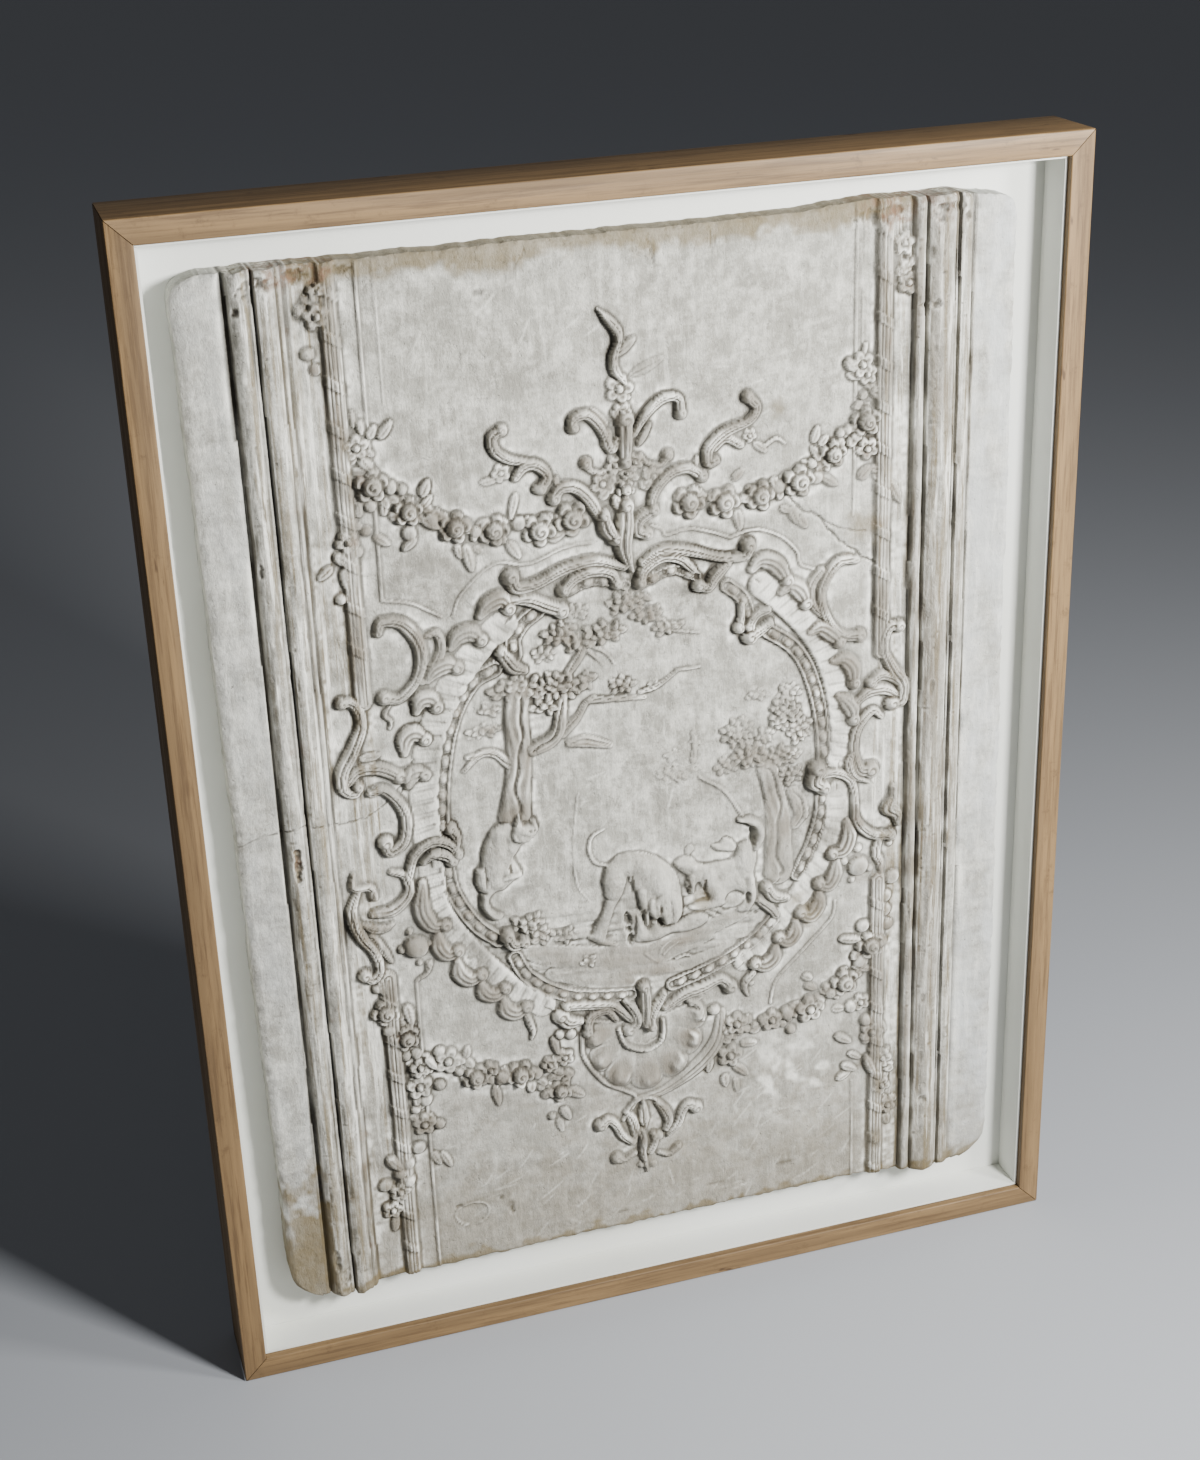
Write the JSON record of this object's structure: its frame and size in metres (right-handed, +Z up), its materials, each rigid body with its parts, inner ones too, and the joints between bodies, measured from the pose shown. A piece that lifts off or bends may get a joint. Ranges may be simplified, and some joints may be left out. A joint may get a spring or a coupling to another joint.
{
  "type": "framed plaster ceiling fragment",
  "caption": "Carved stucco ceiling fragment with run mouldings, a scrolled cartouche, garlands and a hunting scene, on a board in a shallow wooden box frame that hangs on a wall.",
  "frame": {"origin": "on the wall plane, at the middle of the top rail's back face, where the frame is hung", "axes": "+X to the viewer's right, +Y into the wall, +Z up"},
  "size_m": [0.82, 0.075, 1.083],
  "materials": {
    "pale_wood": "matt, thinly oiled",
    "white_paint": "matt emulsion on board",
    "old_plaster": "bare old stucco, chalky, with stains"
  },
  "bodies": {
    "root": {"Frame_Top_Rail": "pale_wood", "Frame_Bottom_Rail": "pale_wood", "Frame_Left_Rail": "pale_wood", "Frame_Right_Rail": "pale_wood", "Lining_Top": "white_paint", "Lining_Bottom": "white_paint", "Lining_Left": "white_paint", "Lining_Right": "white_paint", "Backing_Board": "white_paint", "Plaster_Relief": "old_plaster"}
  },
  "joints": []
}
